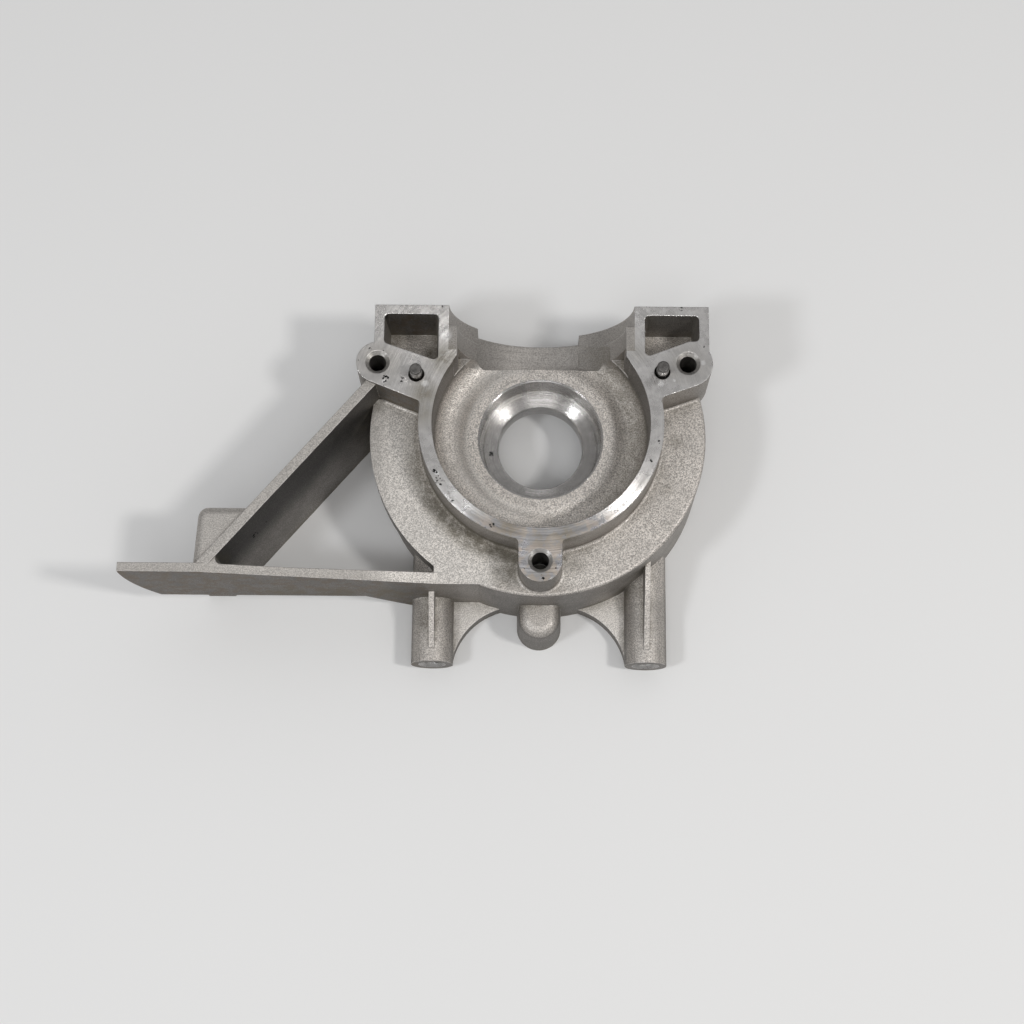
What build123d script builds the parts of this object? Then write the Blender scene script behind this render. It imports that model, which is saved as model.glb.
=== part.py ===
from build123d import *
import os
from math import cos, hypot, radians, sin, sqrt, tan

os.makedirs("parts", exist_ok=True)

# One half of a small two-stroke engine's crankcase, lying on its back, and its two dowel pins.
# The frame: origin on the crank axis at the start of the bearing seat's wall, Z along the
# crank axis towards the parting face, Y towards the cylinder. All sizes in millimetres.

# heights along the crank axis
split_z = 19.0
flange_z = 4.5
floor_back_z = -5.5
tower_back_z = -2.5
neck_back_z = -15.0
back_z = -28.0
lap = 1.0

# bearing seat for a 17 x 40 x 12 ball bearing and seal seat for a 17 x 28 x 7 seal
bearing_r = 20.0
bearing_depth = 9.5
relief_at = (0.6, 1.3)
relief_depth = 0.4
seal_r = 14.0
seal_length = 6.0
hub_wall = 4.5
mouth_chamfer = 0.5

# crank chamber: a land round the bearing seat, an annular moat, a large fillet, the ring wall
chamber_r = 35.0
ring_wall = 4.3
land_width = 3.5
moat_slope = 5.1
moat_depth = 1.2

# round flange with its turned-back rim
rim_r = 53.8
rim_wall = 4.0
flange_plate = 5.0
flange_edge = 1.0
bay_step = 1.9
bay_depth = 8.0
bay_x = -33.0
bay_top_y = 12.0

# cylinder face, spigot recess and skirt bore
face_y = 39.4
spigot_r = 30.0
spigot_depth = 7.0
skirt_r = 27.3
skirt_end_y = 24.2
saddle_drop = 3.3
saddle_x = (-21.2, 12.8)
saddle_corner = (3.0, 4.0)
flange_thickness = 9.0
flange_corner = 5.0
neck_wall = 2.0
neck_end_y = 15.0
stud_x = 34.0
stud_z = -5.0
stud_boss_r = 6.5
stud_depth = 15.0
stud_chamfer = 0.5

# towers beside the cylinder opening, with their screw lugs
tower_x = 54.0
left_screw = (-52.8, 19.7)
right_screw = (47.2, 20.0)
bottom_screw_out = 6.2
left_lug_r = 6.9
right_lug_r = 7.9
bottom_lug_r = 6.9
left_lug_slope = 22.0
right_lug_slope = 19.7
screw_r = 2.75
screw_chamfer = 1.2
screw_depth = 16.0

# blind pockets in the towers
pocket_wall = 3.1
pocket_depth = 16.5
pocket_draft = 4.0
pocket_corner = 1.5
left_pocket_low = (6.7, 0.5)
right_pocket_low = (7.5, 1.9)
right_pocket_ledge = 3.3

# dowel pins
left_dowel = (-40.2, 15.7)
right_dowel = (38.8, 17.1)
dowel_r = 2.0
dowel_seat = 8.0
dowel_proud = 5.0
dowel_mouth = 0.6
dowel_end_chamfer = 0.4

# bracket: a flat plate and a slanting wall that close a triangle beside the flange
plate_inset = 3.8
plate_thickness = 2.9
plate_root_thickness = 3.7
plate_thicken_x = -80.0
plate_end_x = -132.6
plate_end_drop = 0.7
plate_bend_x = -108.0
plate_join_x = -33.0
plate_far_z = -14.0
plate_far_x = (-57.0, -46.0, -41.0)
plate_corner = (8.5, 2.2)
wall_thickness = 3.1
wall_draft = 2.3
wall_low = (-86.6, -26.5)
wall_high = (-58.1, 6.95)
wall_drop = 1.2
wall_run_out = (6.0, 14.0)
wall_corner_r = 1.7
bracket_boss_drop = 2.4
bracket_boss_depth = 18.0
bracket_boss_low = -109.5
bracket_boss_high = (-108.4, -28.1)
bracket_boss_corner = 3.4
bracket_boss_edge = 2.8

# feet: two round posts with a web between them, and a blind boss
post_x = 35.1
post_r = 6.9
post_reach = 17.5
post_hole_r = 3.4
post_hole_depth = 18.0
post_hole_chamfer = 1.0
rib_width = 1.8
rib_near_z = (-3.0, -13.8)
rib_short = 4.2
web_step = 1.0
arch_r = 22.5
arch_spread = 13.0
arch_overhang = 2.5
boss_out = 3.8
boss_r = 7.3
boss_near_z = -9.0
boss_draft = 2.4
boss_edge = 3.6

# rounded inner corners
lug_corner_r = 1.6
foot_of_ring_r = 1.0

# sizes that follow
hub_r = bearing_r + hub_wall
hub_back_z = -(bearing_depth + seal_length)
ring_r = chamber_r + ring_wall
land_r = bearing_r + land_width
moat_r = land_r + moat_slope
floor_z = mouth_chamfer
moat_z = floor_z - moat_depth
chamber_fillet = chamber_r - moat_r
cavity_r = rim_r - rim_wall
bottom_screw = (0, -ring_r - bottom_screw_out)
ledge_y = face_y - spigot_depth
saddle_y = face_y - saddle_drop
flange_back_y = face_y - flange_thickness
plate_low_y = plate_inset - rim_r
plate_top_y = plate_low_y + plate_thickness
plate_root_top_y = plate_low_y + plate_root_thickness
plate_root_x = -sqrt(rim_r**2 - plate_low_y**2) + 2 * lap
post_z = back_z + post_r + lap / 10
post_end_y = -rim_r - post_reach
post_start_y = 2.3 * lap - sqrt(cavity_r**2 - post_x**2)
rib_end_y = post_end_y + rib_short
boss_at_y = -rim_r - boss_out
web_near_z = post_z - web_step

cylinder_face = Plane(origin=(0, face_y, 0), x_dir=(-1, 0, 0), z_dir=(0, 1, 0))

# crank chamber body: the round flange with its rim, and the ring wall up to the parting face
with BuildPart() as body:
    with BuildSketch(Plane.XY.offset(back_z)):
        Circle(rim_r)
    extrude(amount=flange_z - back_z)
    fillet(body.edges().sort_by(Axis.Z)[-1], flange_edge)
    with BuildSketch(Plane.XY.offset(flange_z - lap)):
        Circle(ring_r)
    extrude(amount=split_z - flange_z + lap)
    # the rim stops under the cylinder flange
    split(bisect_by=Plane.XZ.offset(-flange_back_y - lap), keep=Keep.TOP)

# hollow back inside the rim, deeper outside the chamber
with BuildPart() as hollow:
    with BuildSketch(Plane.XZ):
        with BuildLine():
            Polyline(
                (0, back_z - lap),
                (cavity_r, back_z - lap),
                (cavity_r, flange_z - flange_plate),
                ((ring_r + cavity_r) / 2, flange_z - flange_plate),
                ((3 * ring_r + cavity_r) / 4, floor_back_z),
                (0, floor_back_z),
                close=True,
            )
        make_face()
    revolve(axis=Axis.Z)

# bearing hub behind the chamber floor
with BuildPart() as hub:
    with BuildSketch(Plane.XY.offset(hub_back_z)):
        Circle(hub_r)
    extrude(amount=floor_back_z + lap - hub_back_z)


def draw_tower(side, screw, lug_r, lug_slope):
    """A tower seen along Z: straight outer sides, a round screw lug, a slanting edge to the ring wall."""
    angle = radians(lug_slope)
    touch = (abs(screw[0]) + lug_r * sin(angle), screw[1] - lug_r * cos(angle))
    inner_x = chamber_r + lap
    inner_y = touch[1] - (touch[0] - inner_x) * tan(angle)
    outline = [
        (skirt_r - lap, face_y),
        (tower_x, face_y),
        (tower_x, screw[1]),
        touch,
        (inner_x, inner_y),
        (chamber_r - 5 * lap, inner_y),
        (skirt_r - lap, skirt_end_y - 4 * lap),
    ]
    Polygon(*[(side * x, y) for x, y in outline], align=None)
    with Locations(screw):
        Circle(lug_r)


def draw_towers():
    draw_tower(-1, left_screw, left_lug_r, left_lug_slope)
    draw_tower(1, right_screw, right_lug_r, right_lug_slope)


# towers and bottom screw lug
with BuildPart() as towers:
    with BuildSketch(Plane.XY.offset(tower_back_z)):
        draw_towers()
    extrude(amount=split_z - tower_back_z)
    with BuildSketch(Plane.XY.offset(flange_z - lap)):
        with Locations(bottom_screw):
            Circle(bottom_lug_r)
        with Locations((0, (bottom_screw[1] - chamber_r - lap) / 2)):
            Rectangle(2 * bottom_lug_r, -bottom_screw[1] - chamber_r - lap)
    extrude(amount=split_z - flange_z + lap)

# ring wall, towers and lug as one outline: rounded inner corners, and a fillet along the foot
with BuildPart() as foot:
    with BuildSketch(Plane.XY.offset(flange_z - lap)) as upright:
        Circle(ring_r)
        draw_towers()
        with Locations(bottom_screw):
            Circle(bottom_lug_r)
        with Locations((0, bottom_screw[1] / 2)):
            Rectangle(2 * bottom_lug_r, -bottom_screw[1])
        at_ring = upright.vertices().filter_by(lambda v: abs(hypot(v.X, v.Y) - ring_r) < lap / 10)
        fillet(at_ring.filter_by(lambda v: v.Y < face_y / 2), lug_corner_r)
    extrude(amount=split_z - flange_z + lap)
    with BuildSketch(Plane.XY.offset(flange_z - lap)):
        Circle(2 * rim_r)
    extrude(amount=lap)
    at_flange = foot.edges().filter_by_position(Axis.Z, flange_z - lap / 10, flange_z + lap / 10)
    fillet(at_flange.sort_by(SortBy.LENGTH)[:-1], foot_of_ring_r)
    with BuildSketch(Plane.XY.offset(flange_z - lap)):
        Circle(rim_r - flange_edge)
    extrude(amount=split_z - flange_z + lap, mode=Mode.INTERSECT)
    split(bisect_by=Plane.XZ.offset(-flange_back_y - lap), keep=Keep.TOP)

# cylinder flange, the half-round neck behind it and the stud bosses
with BuildPart() as neck:
    with BuildSketch(cylinder_face):
        with Locations((0, (neck_back_z + split_z) / 2)):
            Rectangle(2 * tower_x, split_z - neck_back_z)
    extrude(amount=-flange_thickness)
    fillet(neck.edges().filter_by(Axis.Y).group_by(Axis.Z)[0], flange_corner)
    with BuildSketch(cylinder_face.offset(-flange_thickness)):
        with Locations((0, split_z)):
            Circle(spigot_r + neck_wall)
        with Locations((0, split_z + spigot_r)):
            Rectangle(2 * spigot_r + 3 * neck_wall, 2 * spigot_r, mode=Mode.SUBTRACT)
        with Locations((-stud_x, stud_z), (stud_x, stud_z)):
            Circle(stud_boss_r)
    extrude(amount=neck_end_y - flange_back_y)

# bracket plate, seen along Y, with a rounded far corner at its free end
with BuildPart() as plate:
    with BuildSketch(Plane.XZ.offset(-plate_root_top_y)):
        with BuildLine():
            Polyline(
                (plate_end_x, split_z - plate_end_drop),
                (plate_bend_x, split_z - plate_end_drop),
                (plate_join_x, flange_z),
                (plate_root_x, flange_z),
                (plate_root_x, back_z),
                (plate_far_x[2], back_z),
                (plate_far_x[1], back_z + rim_wall),
                (plate_far_x[0], plate_far_z),
                (plate_end_x + plate_corner[0], plate_far_z),
            )
            ThreePointArc(
                (plate_end_x + plate_corner[0], plate_far_z),
                (plate_end_x + plate_corner[1], (split_z + plate_far_z) / 2 - 1.5 * lap),
                (plate_end_x, split_z - plate_end_drop),
            )
        make_face()
    extrude(amount=plate_root_thickness)
    with BuildSketch(Plane.XY.offset(back_z)):
        Polygon(
            (plate_end_x, plate_low_y),
            (plate_end_x, plate_top_y),
            (plate_thicken_x, plate_top_y),
            (plate_join_x, plate_root_top_y),
            (plate_root_x, plate_root_top_y),
            (plate_root_x, plate_low_y),
            align=None,
        )
    extrude(amount=split_z - back_z, mode=Mode.INTERSECT)

# fills the corner between the flange and the plate
with BuildPart() as corner:
    with BuildSketch(Plane.XY.offset(back_z)):
        Polygon(
            (plate_join_x - lap, plate_root_top_y - lap),
            (plate_join_x - lap, -sqrt(rim_r**2 - (plate_join_x - lap) ** 2)),
            (plate_join_x + lap, -sqrt(rim_r**2 - (plate_join_x + lap) ** 2) + lap / 2),
            (plate_root_x, plate_root_top_y - 2 * lap),
            (plate_root_x, plate_root_top_y - lap),
            align=None,
        )
    extrude(amount=flange_z - back_z)

# slanting wall: a tapering section drawn across it and run from the plate to the tower
wall_run = hypot(wall_high[0] - wall_low[0], wall_high[1] - wall_low[1])
wall_dir = ((wall_high[0] - wall_low[0]) / wall_run, (wall_high[1] - wall_low[1]) / wall_run)
wall_flare = (split_z - back_z) * tan(radians(wall_draft))
wall_to_plate = (wall_low[1] - plate_top_y) / wall_dir[1]
wall_start = wall_to_plate + wall_run_out[0]
across = Plane(
    origin=(wall_low[0] - wall_start * wall_dir[0], wall_low[1] - wall_start * wall_dir[1], 0),
    x_dir=(-wall_dir[1], wall_dir[0], 0),
    z_dir=(wall_dir[0], wall_dir[1], 0),
)
wall_middle = Plane(
    origin=(
        wall_low[0] - wall_dir[1] * wall_thickness / 2,
        wall_low[1] + wall_dir[0] * wall_thickness / 2,
        0,
    ),
    x_dir=(wall_dir[0], wall_dir[1], 0),
    z_dir=(wall_dir[1], -wall_dir[0], 0),
)
with BuildPart() as wall:
    with BuildSketch(across):
        Polygon(
            (0, split_z),
            (wall_thickness, split_z),
            (wall_thickness + wall_flare, back_z),
            (-wall_flare, back_z),
            align=None,
        )
    extrude(amount=wall_start + wall_run + wall_run_out[1])
    split(bisect_by=Plane.XY.offset(split_z - wall_drop), keep=Keep.BOTTOM)
    split(bisect_by=Plane.XZ.offset(lap / 10 - plate_top_y), keep=Keep.BOTTOM)

# plate and wall together, with a rounded corner between them
with BuildPart() as bracket:
    add(plate.part)
    add(wall.part)
    wall_foot = (wall_low[0] - wall_to_plate * wall_dir[0] + lap, plate_top_y, 0)
    fillet(bracket.edges().filter_by(GeomType.LINE).sort_by_distance(wall_foot)[0], wall_corner_r)

# boss in the outer corner between the plate and the slanting wall, its near edge well rounded
with BuildPart() as bracket_boss:
    with BuildSketch(Plane.XY.offset(split_z - bracket_boss_drop)) as boss_outline:
        Polygon(
            (bracket_boss_low, plate_top_y - lap),
            bracket_boss_high,
            (wall_low[0], bracket_boss_high[1]),
            (wall_low[0], plate_top_y - lap),
            align=None,
        )
        fillet(boss_outline.vertices().sort_by(Axis.Y)[-2:].sort_by(Axis.X)[0], bracket_boss_corner)
    extrude(amount=-bracket_boss_depth)
    outer = bracket_boss.edges().group_by(Axis.Z)[-1].sort_by(Axis.X)[:-1]
    fillet(outer.filter_by(lambda edge: edge.center().Y > plate_top_y), bracket_boss_edge)
    split(bisect_by=wall_middle, keep=Keep.BOTTOM)

# feet: round posts along Y, each with a gusset rib on its near side
with BuildPart() as feet:
    with BuildSketch(Plane.XZ.offset(-post_end_y)):
        with Locations((-post_x, post_z), (post_x, post_z)):
            Circle(post_r)
    extrude(amount=post_end_y - post_start_y)
    for x in (-post_x, post_x):
        with BuildSketch(Plane.YZ.offset(x - rib_width / 2)):
            Polygon(
                (-cavity_r + rim_r / 5, rib_near_z[0] + lap),
                (-sqrt(rim_r**2 - post_x**2) - 2 * lap, rib_near_z[0]),
                (rib_end_y, rib_near_z[1]),
                (rib_end_y, post_z),
                (-cavity_r + rim_r / 5, post_z),
                align=None,
            )
        extrude(amount=rib_width)

# web between the feet, with an arch on each side of the blind boss
with BuildPart() as web:
    with BuildSketch(Plane.XY.offset(web_near_z)):
        with Locations((0, (post_end_y - cavity_r) / 2 + 3 * lap)):
            Rectangle(2 * post_x, -post_end_y - cavity_r + 4 * lap)
        with Locations((0, post_end_y - arch_overhang)):
            SlotCenterToCenter(arch_spread, 2 * arch_r, mode=Mode.SUBTRACT)
    extrude(amount=back_z - web_near_z)

# blind boss under the flange, its near edge well rounded
with BuildPart() as boss:
    with BuildSketch(Plane.XY.offset(back_z)):
        with Locations((0, boss_at_y)):
            Circle(boss_r)
        with Locations((0, (boss_at_y - cavity_r) / 2)):
            Rectangle(2 * boss_r, -boss_at_y - cavity_r)
    extrude(amount=boss_near_z - back_z, taper=boss_draft)
    fillet(boss.edges().group_by(Axis.Z)[-1], boss_edge)

# thicker edge of the flange inside the bracket's triangle
with BuildPart() as bay:
    with BuildSketch(Plane.XY.offset(flange_z)):
        Circle(rim_r + bay_step)
        Circle(rim_r - lap, mode=Mode.SUBTRACT)
        with Locations((bay_x + 2 * rim_r, 0)):
            Rectangle(4 * rim_r, 4 * rim_r, mode=Mode.SUBTRACT)
        with Locations((bay_x, bay_top_y + 2 * rim_r)):
            Rectangle(4 * rim_r, 4 * rim_r, mode=Mode.SUBTRACT)
    extrude(amount=-bay_depth)

# the middle of the rear wall, machined lower and to the spigot radius
with BuildPart() as saddle:
    with BuildSketch(cylinder_face.offset(lap)):
        with Locations((0, split_z)):
            Circle(spigot_r)
    extrude(amount=skirt_end_y - face_y - lap)
    with BuildSketch(Plane.XY.offset(split_z - spigot_r - lap)) as saddle_outline:
        with Locations(((saddle_x[0] + saddle_x[1]) / 2, (face_y + skirt_end_y) / 2 + lap)):
            Rectangle(saddle_x[1] - saddle_x[0], face_y - skirt_end_y + 2 * lap)
        for side, radius in ((0, saddle_corner[0]), (-1, saddle_corner[1])):
            fillet(saddle_outline.vertices().group_by(Axis.Y)[0].sort_by(Axis.X)[side], radius)
    extrude(amount=spigot_r + 4 * lap - split_z + flange_z, mode=Mode.INTERSECT)

# pockets open on the parting face, with draft towards their floors
pocket_in = spigot_r + pocket_wall + lap / 5
pocket_out = tower_x - pocket_wall
pocket_top = face_y - pocket_wall
with BuildPart() as pockets:
    with BuildSketch(Plane.XY.offset(split_z)) as left_pocket:
        Polygon(
            (-pocket_out, pocket_top),
            (-pocket_in, pocket_top),
            (-pocket_in, left_screw[1] + left_pocket_low[1]),
            (-pocket_out, left_screw[1] + left_pocket_low[0]),
            align=None,
        )
        fillet(left_pocket.vertices(), pocket_corner)
    extrude(amount=-pocket_depth, taper=pocket_draft)
    with BuildSketch(Plane.XY.offset(split_z)) as right_pocket:
        Polygon(
            (pocket_in, pocket_top),
            (pocket_out, pocket_top),
            (pocket_out, right_screw[1] + right_pocket_low[0]),
            (pocket_out - right_pocket_ledge, right_screw[1] + right_pocket_low[0]),
            (pocket_in, right_screw[1] + right_pocket_low[1]),
            align=None,
        )
        fillet(right_pocket.vertices(), pocket_corner)
    extrude(amount=-pocket_depth, taper=pocket_draft)

# chamber: floor with a raised land round the bearing seat, a moat and a large fillet
with BuildPart() as chamber:
    with BuildSketch(Plane.XZ):
        with BuildLine():
            Polyline((chamber_r, moat_z + chamber_fillet), (chamber_r, split_z + lap), (0, split_z + lap))
            Polyline((0, split_z + lap), (0, floor_z), (land_r, floor_z))
            Spline(
                (land_r, floor_z),
                ((land_r + moat_r) / 2, (floor_z + moat_z) / 2),
                (moat_r, moat_z),
                tangents=[(1, 0), (1, 0)],
            )
            CenterArc((moat_r, moat_z + chamber_fillet), chamber_fillet, -90, 90)
        make_face()
    revolve(axis=Axis.Z)

# bearing seat with a shallow ring turned into its shoulder, then the seal seat
with BuildPart() as seats:
    with BuildSketch(Plane.XZ):
        Polygon(
            (0, floor_z + lap),
            (bearing_r + mouth_chamfer, floor_z + lap),
            (bearing_r + mouth_chamfer, floor_z),
            (bearing_r, 0),
            (bearing_r, -bearing_depth),
            (bearing_r - relief_at[0], -bearing_depth),
            (bearing_r - relief_at[0], -bearing_depth - relief_depth),
            (bearing_r - relief_at[1], -bearing_depth - relief_depth),
            (bearing_r - relief_at[1], -bearing_depth),
            (seal_r + mouth_chamfer, -bearing_depth),
            (seal_r, -bearing_depth - 2 * mouth_chamfer),
            (seal_r, hub_back_z - lap),
            (0, hub_back_z - lap),
            align=None,
        )
    revolve(axis=Axis.Z)

# sharp corners left where the skirt bore runs into the chamber, cut back on a slant
horn = [
    (skirt_r - 7 * lap, skirt_end_y + 2 * lap),
    (skirt_r, skirt_end_y + 2 * lap),
    (skirt_r, skirt_end_y - 1.8 * lap),
    (skirt_r + 1.4 * lap, skirt_end_y - 4 * lap),
    (skirt_r - 7 * lap, skirt_end_y - 4 * lap),
]

with BuildPart() as crankcase_half:
    add(body.part)
    add(bay.part)
    add(bracket.part)
    add(corner.part)
    add(bracket_boss.part)
    add(feet.part)
    add(web.part)
    add(boss.part)
    add(hollow.part, mode=Mode.SUBTRACT)
    add(hub.part)
    add(foot.part)
    add(towers.part)
    add(neck.part)
    # cylinder opening: spigot recess, skirt bore and the lower middle of the rear wall
    with BuildSketch(cylinder_face.offset(lap)):
        with Locations((0, split_z)):
            Circle(spigot_r)
    extrude(amount=-spigot_depth - lap, mode=Mode.SUBTRACT)
    with BuildSketch(cylinder_face.offset(-spigot_depth)):
        with Locations((0, split_z)):
            Circle(skirt_r)
    extrude(amount=skirt_end_y - ledge_y, mode=Mode.SUBTRACT)
    with BuildSketch(Plane.XY.offset(split_z)):
        Polygon(*horn, align=None)
        Polygon(*[(-x, y) for x, y in horn], align=None)
    extrude(amount=flange_z - split_z, mode=Mode.SUBTRACT)
    add(saddle.part, mode=Mode.SUBTRACT)
    with BuildSketch(Plane.XY.offset(neck_back_z - lap)):
        with Locations(((saddle_x[0] + saddle_x[1]) / 2, saddle_y + saddle_drop)):
            Rectangle(saddle_x[1] - saddle_x[0], 2 * saddle_drop)
    extrude(amount=split_z - neck_back_z, mode=Mode.SUBTRACT)
    add(chamber.part, mode=Mode.SUBTRACT)
    add(seats.part, mode=Mode.SUBTRACT)
    add(pockets.part, mode=Mode.SUBTRACT)
    # case screws and dowels, drilled from the parting face
    with Locations(Plane.XY.offset(split_z)):
        with Locations(left_screw, right_screw, bottom_screw):
            CounterSinkHole(screw_r, screw_r + screw_chamfer, screw_depth, 90)
        with Locations(left_dowel, right_dowel):
            CounterSinkHole(dowel_r, dowel_r + dowel_mouth, dowel_seat, 90)
    # cylinder studs, drilled from the cylinder face
    with Locations(cylinder_face):
        with Locations((-stud_x, stud_z), (stud_x, stud_z)):
            CounterSinkHole(screw_r, screw_r + stud_chamfer, stud_depth, 90)
    # mounting screws, drilled up the feet
    with Locations(Plane.XZ.offset(-post_end_y)):
        with Locations((-post_x, post_z), (post_x, post_z)):
            CounterSinkHole(post_hole_r, post_hole_r + post_hole_chamfer, post_hole_depth, 90)

crankcase_half.part.label = "crankcase_half"
export_step(crankcase_half.part, "parts/crankcase_half.step")

# dowel pins, pressed in and standing proud of the parting face
for name, place in (("dowel_pin_left", left_dowel), ("dowel_pin_right", right_dowel)):
    with BuildPart() as pin:
        with BuildSketch(Plane.XY.offset(split_z - dowel_seat)):
            with Locations(place):
                Circle(dowel_r)
        extrude(amount=dowel_seat + dowel_proud)
        chamfer(pin.edges().filter_by(GeomType.CIRCLE), dowel_end_chamfer)
    pin.part.label = name
    export_step(pin.part, f"parts/{name}.step")
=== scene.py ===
"""A two-stroke crankcase half in sand-textured light alloy, dressed for a studio photograph."""
from functools import reduce
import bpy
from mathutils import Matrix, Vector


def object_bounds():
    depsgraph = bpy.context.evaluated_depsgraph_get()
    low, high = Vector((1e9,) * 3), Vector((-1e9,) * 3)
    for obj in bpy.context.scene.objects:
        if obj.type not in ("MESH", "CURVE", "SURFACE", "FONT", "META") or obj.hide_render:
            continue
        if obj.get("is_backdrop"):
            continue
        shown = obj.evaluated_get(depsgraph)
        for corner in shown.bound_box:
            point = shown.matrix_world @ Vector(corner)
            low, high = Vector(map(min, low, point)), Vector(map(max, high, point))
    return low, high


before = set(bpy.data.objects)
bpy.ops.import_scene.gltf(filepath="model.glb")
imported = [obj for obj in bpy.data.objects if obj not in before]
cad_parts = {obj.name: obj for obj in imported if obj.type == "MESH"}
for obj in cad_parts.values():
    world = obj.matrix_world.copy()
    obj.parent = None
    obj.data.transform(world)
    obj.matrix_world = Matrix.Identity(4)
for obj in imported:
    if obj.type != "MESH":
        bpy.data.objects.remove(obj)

from types import SimpleNamespace

import bmesh
import bpy

bl_info = {
    "name": "Crankcase half",
    "version": (1, 0, 0),
    "blender": (4, 5, 0),
    "location": "3D View > Sidebar > Crankcase",
    "description": "Finishes the crankcase half and its dowel pins, and sets the table, lamps and camera",
    "category": "Object",
}

MM = 0.001
CASTING = "crankcase_half"
PINS = ("dowel_pin_left", "dowel_pin_right")

# Places on the casting, in millimetres
SPLIT_Z = 19.0
FLOOR_Z = 0.5
SHOULDER_Z = -9.5
FACE_Y = 39.4
SKIRT_Y = 24.2
BEARING_MOUTH_R = 20.6
RING_R = 39.3
SPIGOT_R = 30.0
SCREW_HOLES = ((-52.8, 19.7), (47.2, 20.0), (0.0, -45.5))
SCREW_MOUTH_R = 4.0
SCREW_DEPTH = 17.7
DOWELS = ((-40.2, 15.7), (38.8, 17.1))
DOWEL_MOUTH_R = 2.7
POST_X = 35.1
POST_Z = -21.0
POST_MOUTH_R = 4.5
POST_Y = -50.0
WALL_X = -45.0
WALL_LOW_Z = -14.0
WALL_MID_Z = 5.1

# How far past a cut face its mask still reaches, in millimetres
MILLED_SKIM = 0.04
BORED_SKIM = 0.05
SPIGOT_SKIM = 0.06

# Scales of the patterns, per millimetre, and how the marks and pits are drawn with them
CLOUD_SCALE = 0.10
BLOTCH_SCALE = 0.35
GRIME_AND_SHADE_SCALE = 0.13
WEAR_SCALE = 0.6
TORN_SCALE = 1.8
TORN_REACH = 0.9
PIT_CELL_SCALE = 0.95
PIT_FILL = 0.48
PIT_CORE = 0.4
RUB_CORE = 0.3
MARK_SCALE = 4.0
MARK_WAVES = 50.0
MARK_ROCK = 0.38
BORE_ROCK = 0.17
SKIRT_ROCK = -0.24
PIN_STAIN_SCALE = 0.9
PIN_RINGS = (2, 2, 9)
TABLE_SCALE = 7.0

# Stretches over which a tone fades in, in millimetres: where it starts and where it is full
PLATE_FADE_X = (-26.0, -44.0)
BRACKET_FADE_X = (-46.0, -56.0)
FEET_FADE_Y = (POST_Y + 2.0, POST_Y - 2.0)
FLANGE_FADE_X = (30.0, -5.0)
FLANGE_END_Y = 19.0
FOOT_FADE_R = (RING_R + 8.0, RING_R + 2.5)
FOOT_FADE_X = (2.0, -9.0)
FOOT_FADE_Y = (20.0, -36.0)
FOOT_TOP_Z = 7.0
MOAT_INNER_R = (22.8, 25.0)
MOAT_OUTER_R = (30.0, 27.0)
MOAT_FADE_X = (4.0, -12.0)
# Painted shadow on the right of the chamber floor: how it fades in across the radius and along x, and the
# height it stays under
SHADOW_FADE_R = (24.0, 31.0)
SHADOW_FADE_X = (8.0, 24.0)
SHADOW_TOP_Z = 4.0
RING_LOW_Y = (-27.0, -35.0)
# Depths over which the screw holes darken to black painted shade
HOLE_DARK_Z = (SPLIT_Z - 8.0, SPLIT_Z - 15.0)

# Tones of the grain, dark and light, as shares of the skin's colour. The upright and recess tones are
# darker copies of the skin: painted shade on the sides and in the spigot recess
LEVEL_TONES = (0.56, 1.24)
UPRIGHT_TONES = (0.38, 0.66)
RECESS_TONES = (0.42, 0.72)

# Groups of pits: place and reach in millimetres, and how full each group is from 0 to 1
PIT_GROUPS = (
    ((-54.6, 24.9, 19.0), 1.9, 0.60),
    ((-58.6, 19.8, 19.0), 1.3, 0.70),
    ((-50.4, 23.8, 19.0), 1.0, 0.60),
    ((-49.9, 13.9, 19.0), 2.1, 0.85),
    ((-44.6, 13.5, 19.0), 2.0, 0.75),
    ((-32.2, 38.7, 19.0), 0.9, 1.00),
    ((-38.0, -9.3, 19.0), 0.8, 0.70),
    ((-34.0, -16.3, 19.0), 2.2, 1.00),
    ((-32.2, -20.0, 19.0), 2.3, 0.95),
    ((-27.7, -26.2, 19.0), 1.2, 0.70),
    ((-24.4, -30.1, 19.0), 1.0, 0.70),
    ((-18.0, -32.7, 19.0), 0.9, 0.80),
    ((-15.3, -34.2, 19.0), 1.3, 0.85),
    ((1.0, -50.7, 19.0), 1.5, 1.00),
    ((8.0, -37.0, 19.0), 0.8, 0.80),
    ((-4.8, -48.1, 19.0), 0.7, 0.80),
    ((4.9, -48.3, 19.0), 0.7, 0.80),
    ((37.5, -6.5, 19.0), 1.0, 1.00),
    ((35.2, -12.7, 19.0), 1.0, 1.00),
    ((46.0, 38.5, 19.0), 2.2, 0.60),
    ((51.8, 25.6, 19.0), 1.3, 0.70),
    ((52.2, 18.3, 19.0), 1.4, 0.70),
    ((43.8, 14.6, 19.0), 1.6, 0.60),
    ((-91.8, -33.9, 2.6), 2.4, 1.00),
    ((-88.9, -30.3, 3.5), 1.8, 0.80),
    ((-16.2, -2.1, -9.5), 1.5, 0.90),
)
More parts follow.
